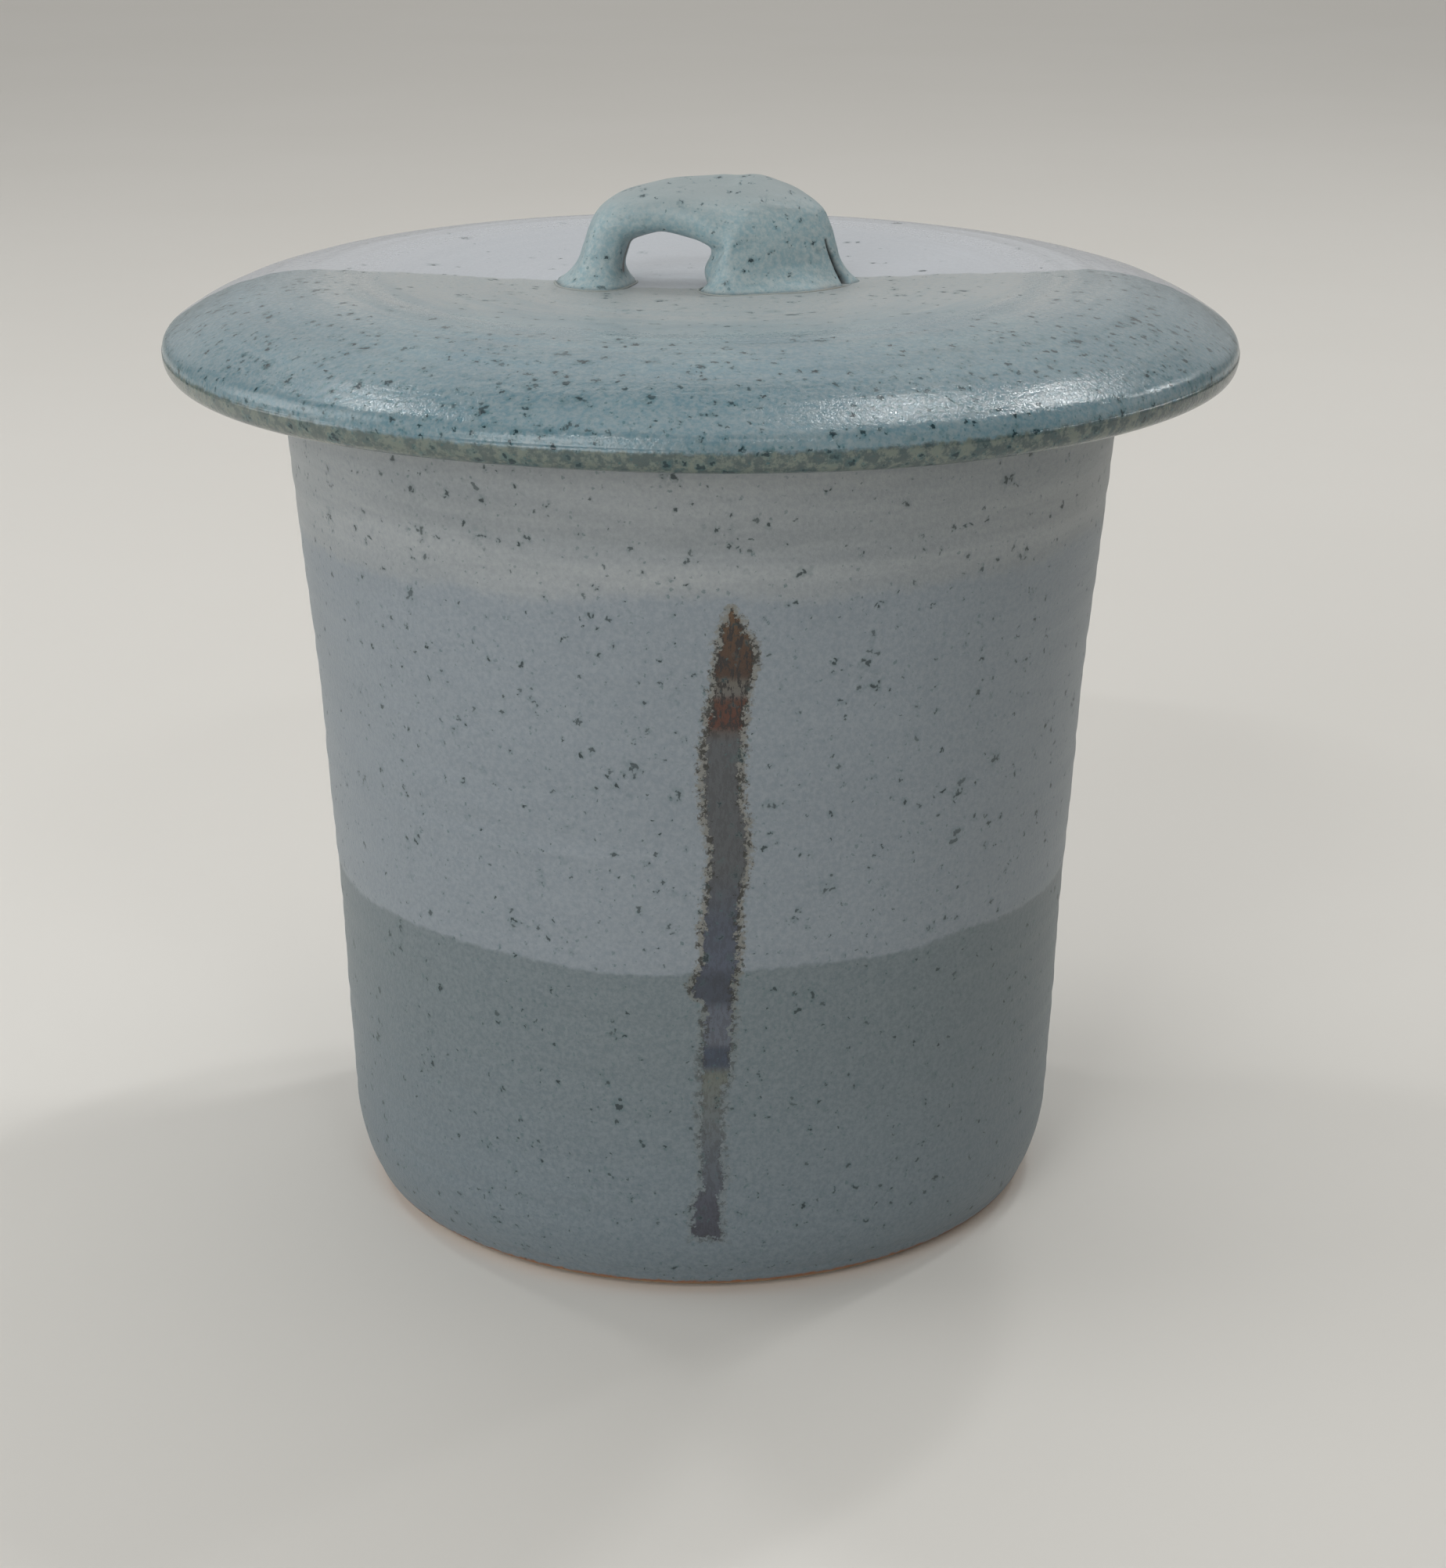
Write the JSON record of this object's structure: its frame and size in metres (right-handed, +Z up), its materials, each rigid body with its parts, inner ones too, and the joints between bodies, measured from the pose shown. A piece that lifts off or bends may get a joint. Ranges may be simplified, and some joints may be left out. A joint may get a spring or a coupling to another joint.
{
  "type": "powder jar",
  "caption": "Lidded stoneware jar for powder: a tapering turned body, an overhanging dished lid with a locating flange, and a twisted strap handle to lift it by.",
  "frame": {"origin": "centre of the foot, on the surface the jar stands on", "axes": "+Z up along the jar's axis; -Y is the painted front; +X is to the right seen from the front"},
  "size_m": [0.1274, 0.1274, 0.1248],
  "materials": {
    "slate_glaze": "satin slate-grey speckled glaze, greener below the lower dip line",
    "teal_glaze": "glossy speckled teal glaze over the front half, pale blue-grey over the rear half"
  },
  "bodies": {
    "jar": {"jar_body": "slate_glaze"},
    "lid": {"lid": "teal_glaze", "strap_handle": "teal_glaze"}
  },
  "joints": [
    {"name": "lid_lift", "type": "slide", "parent": "jar", "child": "lid", "axis": [0, 0, 1], "range_m": [0, 0.08]}
  ]
}
